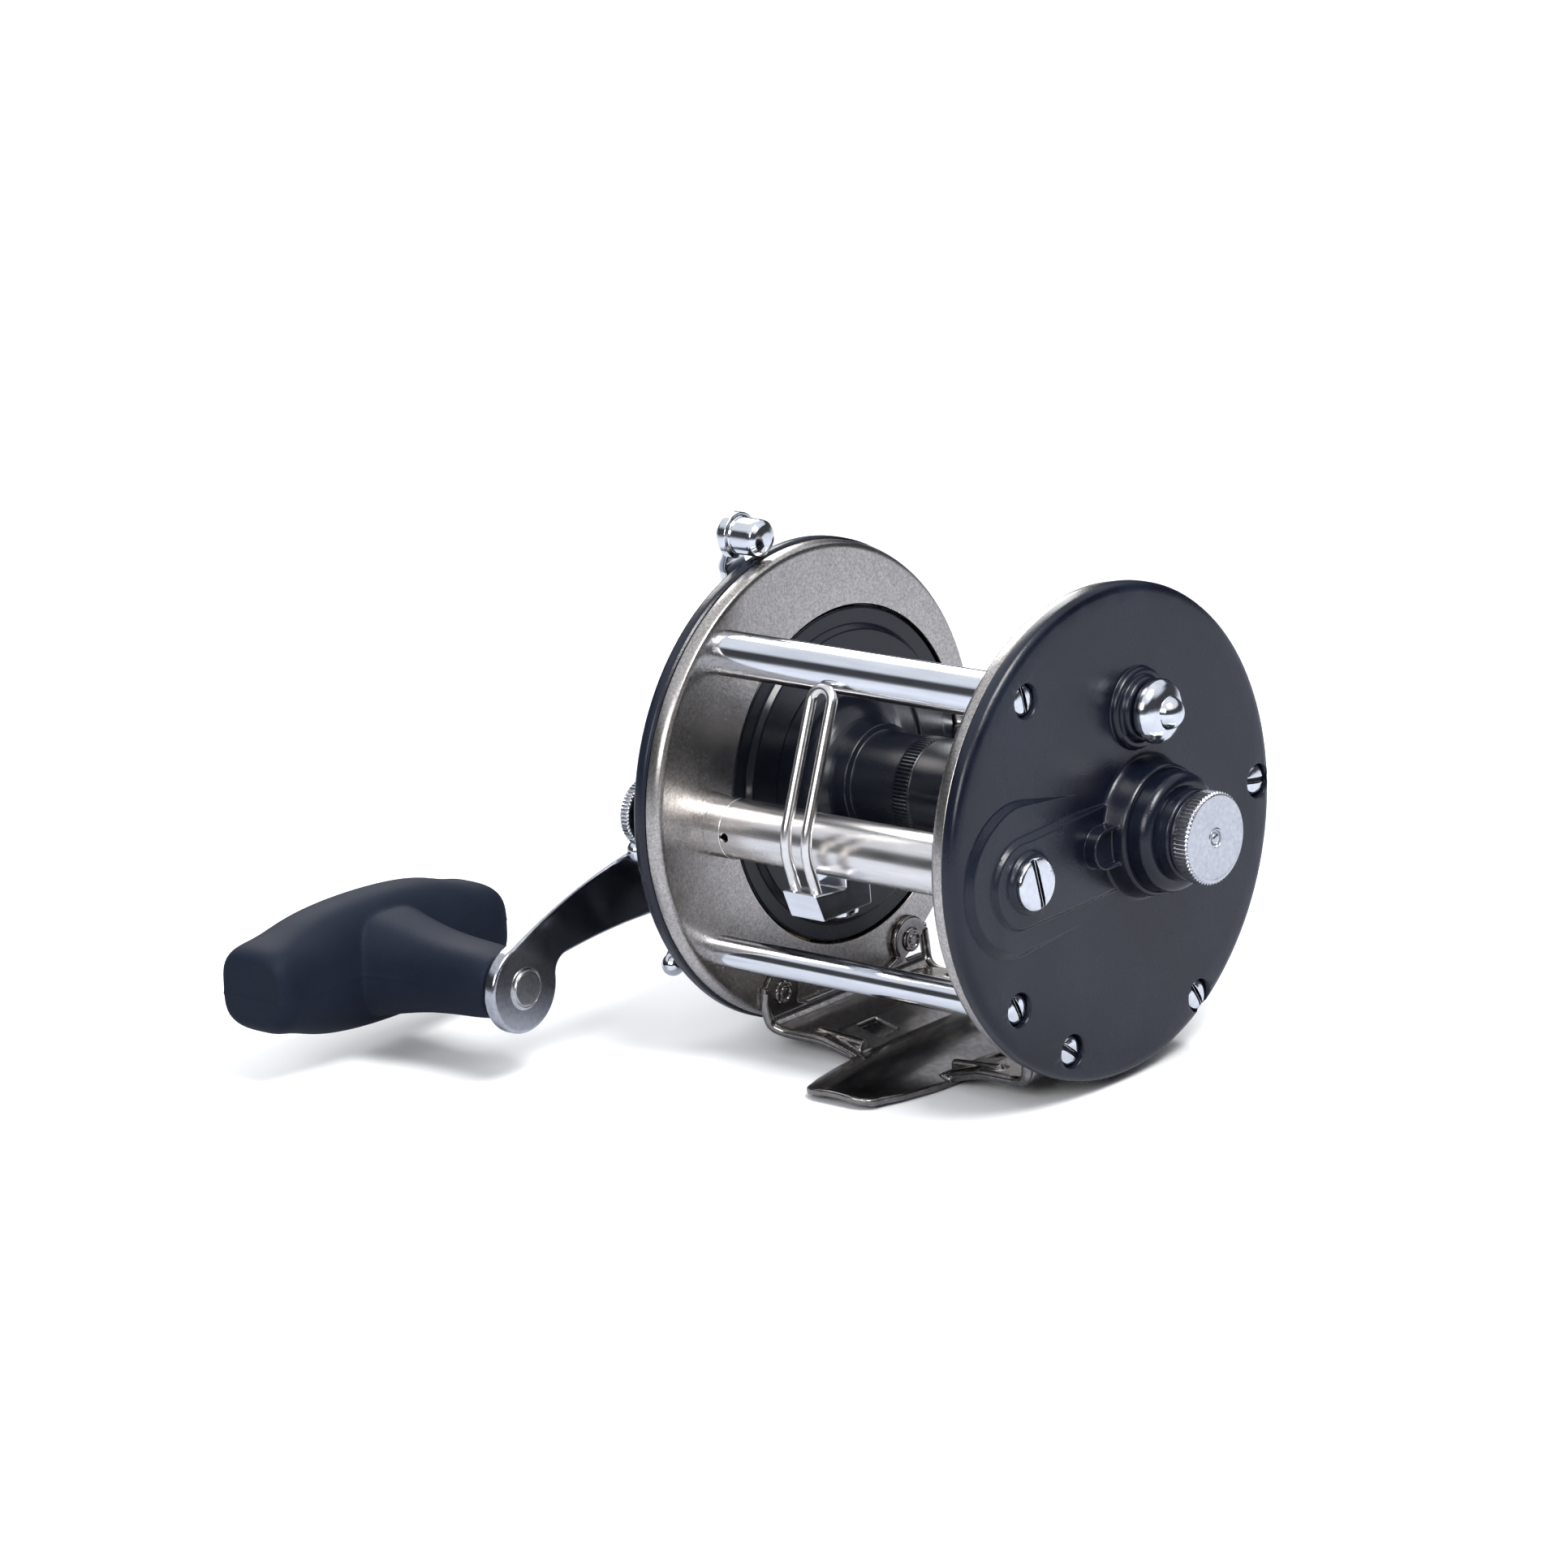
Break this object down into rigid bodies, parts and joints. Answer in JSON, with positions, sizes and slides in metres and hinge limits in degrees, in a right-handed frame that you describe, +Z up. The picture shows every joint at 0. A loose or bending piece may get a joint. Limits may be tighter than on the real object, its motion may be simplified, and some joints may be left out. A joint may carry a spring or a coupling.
{
  "type": "trolling reel",
  "caption": "Conventional level-wind trolling reel with round side plates, metal rings and pillars, wire line guide, star drag, T-grip crank and a curved rod foot.",
  "frame": {"origin": "middle of the foot, on the plane of the foot's lower edges", "axes": "+Z up from the rod, +X along the spool axis to the handle side, +Y to the line-guide side, the way the line leaves"},
  "size_m": [0.1431, 0.1167, 0.088],
  "materials": {
    "black_plate": "satin moulded",
    "black_spool": "semi-gloss moulded",
    "nickel_ring": "fine grained satin nickel",
    "nickel_stand": "glossy dark nickel",
    "chrome": "polished",
    "satin_chrome": "satin",
    "bright_steel": "bright machined",
    "knurled_metal": "machined face with knurled edge",
    "brass": "machined",
    "bronze": "oiled bearing bronze",
    "spring_steel": "oiled wire",
    "drag_fibre": "dull pressed fibre",
    "grip_rubber": "matte moulded"
  },
  "bodies": {
    "frame": {"left_ring": "nickel_ring", "right_ring": "nickel_ring", "left_side_plate": "black_plate", "right_side_plate": "black_plate", "pillar_top": "chrome", "pillar_lower": "chrome", "pillar_rear": "chrome", "left_pillar_screws": "chrome", "right_pillar_screws": "chrome", "left_stand_screws": "chrome", "right_stand_screws": "chrome", "reel_stand": "nickel_stand", "worm_shield": "satin_chrome", "shield_collar": "satin_chrome", "worm_cap_screw": "chrome", "worm_end_cap": "knurled_metal", "worm_bushing_right": "bronze", "left_spool_bushing": "bronze", "right_spool_bushing": "bronze", "sleeve_bushing": "bronze", "bridge": "bright_steel", "bridge_screws": "bright_steel", "idler_stud": "bright_steel", "dog_stud": "bright_steel", "dog_spring": "spring_steel", "yoke_springs": "spring_steel", "click_spring": "spring_steel"},
    "crank": {"gear_sleeve": "bright_steel", "ratchet_wheel": "bright_steel", "main_gear": "brass", "drag_washers_metal": "bright_steel", "drag_washers_fibre": "drag_fibre", "drag_spacer": "chrome", "handle_arm": "chrome", "handle_nut": "chrome", "nut_lock_screw": "chrome", "grip_post": "bright_steel"},
    "grip": {"handle_grip": "grip_rubber"},
    "star": {"star_wheel": "chrome"},
    "dog": {"anti_reverse_dog": "bright_steel"},
    "spool": {"spool_body": "black_spool", "spool_shaft": "bright_steel", "drive_pin": "bright_steel", "click_ratchet": "brass", "spool_gear": "brass"},
    "idler": {"idler_gear": "brass"},
    "worm": {"worm_gear": "brass", "level_wind_worm": "bright_steel"},
    "yoke": {"release_yoke": "bright_steel", "release_jack": "bright_steel"},
    "pinion": {"pinion_gear": "brass"},
    "lever": {"free_spool_lever": "chrome"},
    "guide": {"carriage_block": "chrome", "line_guide": "satin_chrome", "pawl_cap": "chrome"},
    "pawl": {"pawl": "bright_steel"},
    "click": {"click_button": "chrome", "click_tongue": "bright_steel"},
    "left_cap": {"left_bearing_cap": "knurled_metal"},
    "right_cap": {"right_bearing_cap": "knurled_metal"}
  },
  "joints": [
    {"name": "handle_spin", "type": "hinge", "parent": "frame", "child": "crank", "pos_m": [0, 0.0078, 0.0262], "axis": [1, 0, 0], "continuous": true},
    {"name": "grip_spin", "type": "hinge", "parent": "crank", "child": "grip", "pos_m": [0, 0.0519, 0.0159], "axis": [1, 0, 0], "continuous": true},
    {"name": "star_turn", "type": "hinge", "parent": "crank", "child": "star", "pos_m": [0, 0.0078, 0.0262], "axis": [1, 0, 0], "range_deg": [0, 270]},
    {"name": "dog_lift", "type": "hinge", "parent": "frame", "child": "dog", "pos_m": [0, -0.0047, 0.0258], "axis": [1, 0, 0], "range_deg": [-18, 0]},
    {"name": "spool_spin", "type": "hinge", "parent": "frame", "child": "spool", "pos_m": [0, -0.0043, 0.0407], "axis": [1, 0, 0], "continuous": true},
    {"name": "idler_spin", "type": "hinge", "parent": "frame", "child": "idler", "pos_m": [0, 0.00752, 0.04278], "axis": [1, 0, 0], "continuous": true},
    {"name": "worm_spin", "type": "hinge", "parent": "frame", "child": "worm", "pos_m": [0, 0.0265, 0.0399], "axis": [1, 0, 0], "continuous": true},
    {"name": "lever_turn", "type": "hinge", "parent": "frame", "child": "lever", "pos_m": [0, 0.0018, 0.0648], "axis": [1, 0, 0], "range_deg": [0, 48]},
    {"name": "yoke_slide", "type": "slide", "parent": "frame", "child": "yoke", "axis": [1, 0, 0], "range_m": [0, 0.0014]},
    {"name": "pinion_spin", "type": "hinge", "parent": "yoke", "child": "pinion", "pos_m": [0, -0.0043, 0.0407], "axis": [1, 0, 0], "continuous": true},
    {"name": "guide_slide", "type": "slide", "parent": "frame", "child": "guide", "axis": [1, 0, 0], "range_m": [-0.024, 0.016]},
    {"name": "pawl_swivel", "type": "hinge", "parent": "guide", "child": "pawl", "pos_m": [0.004, 0.0265, 0.0399], "axis": [0, 0, 1], "range_deg": [-35, 35]},
    {"name": "click_slide", "type": "slide", "parent": "frame", "child": "click", "axis": [0, 0, -1], "range_m": [0, 0.0024]},
    {"name": "left_cap_turn", "type": "hinge", "parent": "frame", "child": "left_cap", "pos_m": [0, -0.0043, 0.0407], "axis": [1, 0, 0], "range_deg": [-90, 90]},
    {"name": "right_cap_turn", "type": "hinge", "parent": "frame", "child": "right_cap", "pos_m": [0, -0.0043, 0.0407], "axis": [1, 0, 0], "range_deg": [-90, 90]}
  ],
  "couplings": [
    {"joint": "spool_spin", "follows": "handle_spin", "ratio": -3.2},
    {"joint": "pinion_spin", "follows": "handle_spin", "ratio": -3.2},
    {"joint": "idler_spin", "follows": "handle_spin", "ratio": 2.1333},
    {"joint": "worm_spin", "follows": "handle_spin", "ratio": -1.28},
    {"joint": "yoke_slide", "follows": "lever_turn", "m_per_rad": 0.00155}
  ]
}
